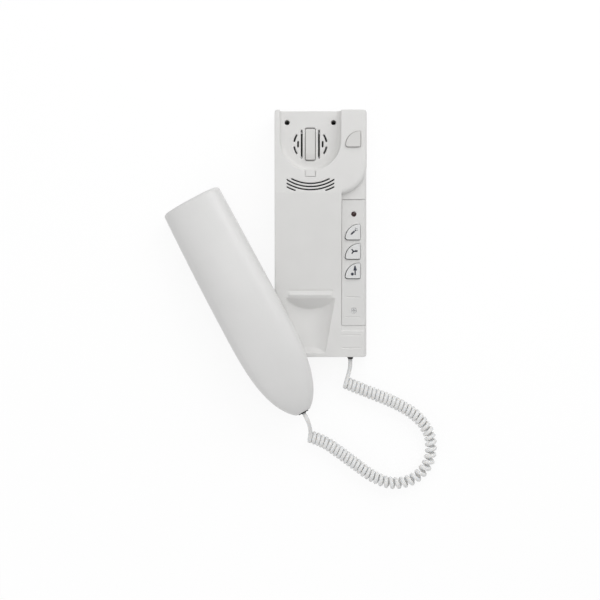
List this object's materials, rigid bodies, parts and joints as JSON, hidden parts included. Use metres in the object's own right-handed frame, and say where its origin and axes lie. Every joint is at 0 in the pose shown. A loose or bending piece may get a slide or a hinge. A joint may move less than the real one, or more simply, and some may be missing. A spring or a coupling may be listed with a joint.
{
  "type": "audio intercom handset",
  "caption": "White door-entry wall phone lying face up, its handset lifted off and leaning on it, joined by a curly cord.",
  "frame": {"origin": "centre of the wall unit's rear face, the face that goes against the wall", "axes": "+X to the right of the wall unit seen from the front, +Y towards its earpiece end, +Z out of its front"},
  "size_m": [0.2449, 0.3398, 0.0479],
  "materials": {
    "shell_plastic": "moulded off-white, soft gloss",
    "panel_plastic": "moulded off-white, satin",
    "button_plastic": "moulded white, soft gloss",
    "indicator_red": "tinted clear, polished",
    "board_green": "laminate, solder masked",
    "terminal_green": "moulded, dull",
    "black_plastic": "moulded, dull",
    "blue_sleeve": "sleeved, satin",
    "cream_plastic": "moulded, dull",
    "steel": "plated",
    "magnet_iron": "bare, dull",
    "cone_paper": "film, dull",
    "dark_rubber": "moulded, dull",
    "grille_plastic": "moulded, satin",
    "cord_jacket": "flexible, satin",
    "lead_wire": "insulated, satin"
  },
  "bodies": {
    "wall_unit": {"rear_plate": "shell_plastic", "front_cover": "shell_plastic", "dust_screen": "black_plastic", "button_panel": "panel_plastic", "indicator_lens": "indicator_red", "indicator_lamp": "indicator_red", "circuit_board": "board_green", "board_screws": "steel", "key_switches": "black_plastic", "terminal_block": "terminal_green", "terminal_screws": "steel", "capacitors": "blue_sleeve", "audio_chip": "black_plastic", "cord_header": "cream_plastic", "ringer_frame": "steel", "ringer_magnet": "magnet_iron", "ringer_cone": "cone_paper", "ringer_leads": "lead_wire", "hook_pin": "steel", "hook_spring": "steel", "hook_switch": "black_plastic", "trimmer_body": "blue_sleeve", "base_bush": "dark_rubber", "base_cord_leads": "lead_wire", "curly_cord": "cord_jacket"},
    "hook": {"hook_lever": "button_plastic"},
    "top_key": {"top_button": "button_plastic"},
    "light_key": {"light_button": "button_plastic"},
    "door_key": {"door_button": "button_plastic"},
    "call_key": {"call_button": "button_plastic"},
    "volume": {"trimmer_shaft": "button_plastic"},
    "handset": {"handset_back_shell": "shell_plastic", "handset_face_shell": "shell_plastic", "earpiece_grille": "grille_plastic", "earpiece_gasket": "dark_rubber", "earpiece_capsule": "steel", "microphone_capsule": "steel", "microphone_boot": "dark_rubber", "handset_screws": "steel", "handset_leads": "lead_wire", "handset_bush": "dark_rubber"}
  },
  "joints": [
    {"name": "handset_lift", "type": "slide", "parent": "wall_unit", "child": "handset", "axis": [0, 0, 1], "range_m": [0, 0.1], "deforming": ["curly_cord"]},
    {"name": "hook_press", "type": "hinge", "parent": "wall_unit", "child": "hook", "pos_m": [-0.0092, 0.0927, 0.015], "axis": [1, 0, 0], "range_deg": [0, 6.2], "stiffness_Nm_per_rad": 0.05, "springref_deg": -8.59, "deforming": ["hook_spring"]},
    {"name": "top_button_press", "type": "slide", "parent": "wall_unit", "child": "top_key", "axis": [0, 0, -1], "range_m": [0, 0.001], "stiffness_N_per_m": 150, "springref_m": -0.004},
    {"name": "light_button_press", "type": "slide", "parent": "wall_unit", "child": "light_key", "axis": [0, 0, -1], "range_m": [0, 0.001], "stiffness_N_per_m": 150, "springref_m": -0.004},
    {"name": "door_button_press", "type": "slide", "parent": "wall_unit", "child": "door_key", "axis": [0, 0, -1], "range_m": [0, 0.001], "stiffness_N_per_m": 150, "springref_m": -0.004},
    {"name": "call_button_press", "type": "slide", "parent": "wall_unit", "child": "call_key", "axis": [0, 0, -1], "range_m": [0, 0.001], "stiffness_N_per_m": 150, "springref_m": -0.004},
    {"name": "volume_turn", "type": "hinge", "parent": "wall_unit", "child": "volume", "pos_m": [0.0296, -0.0686, 0.0232], "axis": [0, 0, 1], "range_deg": [-135, 135]}
  ]
}
